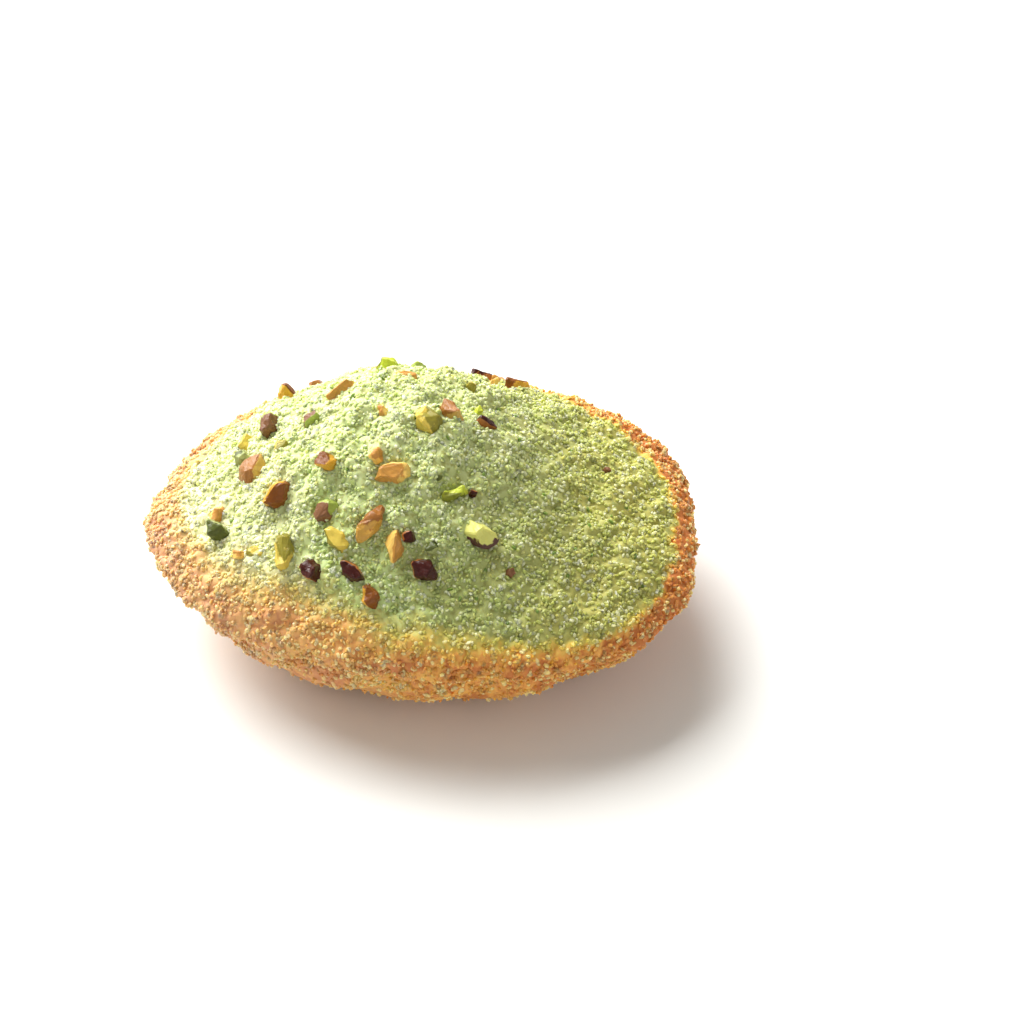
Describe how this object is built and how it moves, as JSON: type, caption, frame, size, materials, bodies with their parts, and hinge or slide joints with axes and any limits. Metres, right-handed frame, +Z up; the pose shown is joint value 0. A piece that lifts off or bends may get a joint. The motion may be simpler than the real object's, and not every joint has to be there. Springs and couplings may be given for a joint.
{
  "type": "madeleine cake",
  "caption": "Small shell-shaped sponge cake with a pointed end, a tall uneven hump, fan ribs underneath and chopped pistachios baked into the top.",
  "frame": {"origin": "middle of the plan, on the surface that the cake rests on", "axes": "+X from the pointed end to the broad end, +Y across the cake, +Z up through the hump"},
  "size_m": [0.08, 0.0568, 0.0385],
  "materials": {
    "sponge": "granular pale green pistachio sponge, browned to golden orange at the rim and on the shell side",
    "pistachio": "roasted nut, satin, from yellow and green cut faces to brown and dark purple skin"
  },
  "bodies": {
    "root": {"madeleine": "sponge"}
  },
  "joints": []
}
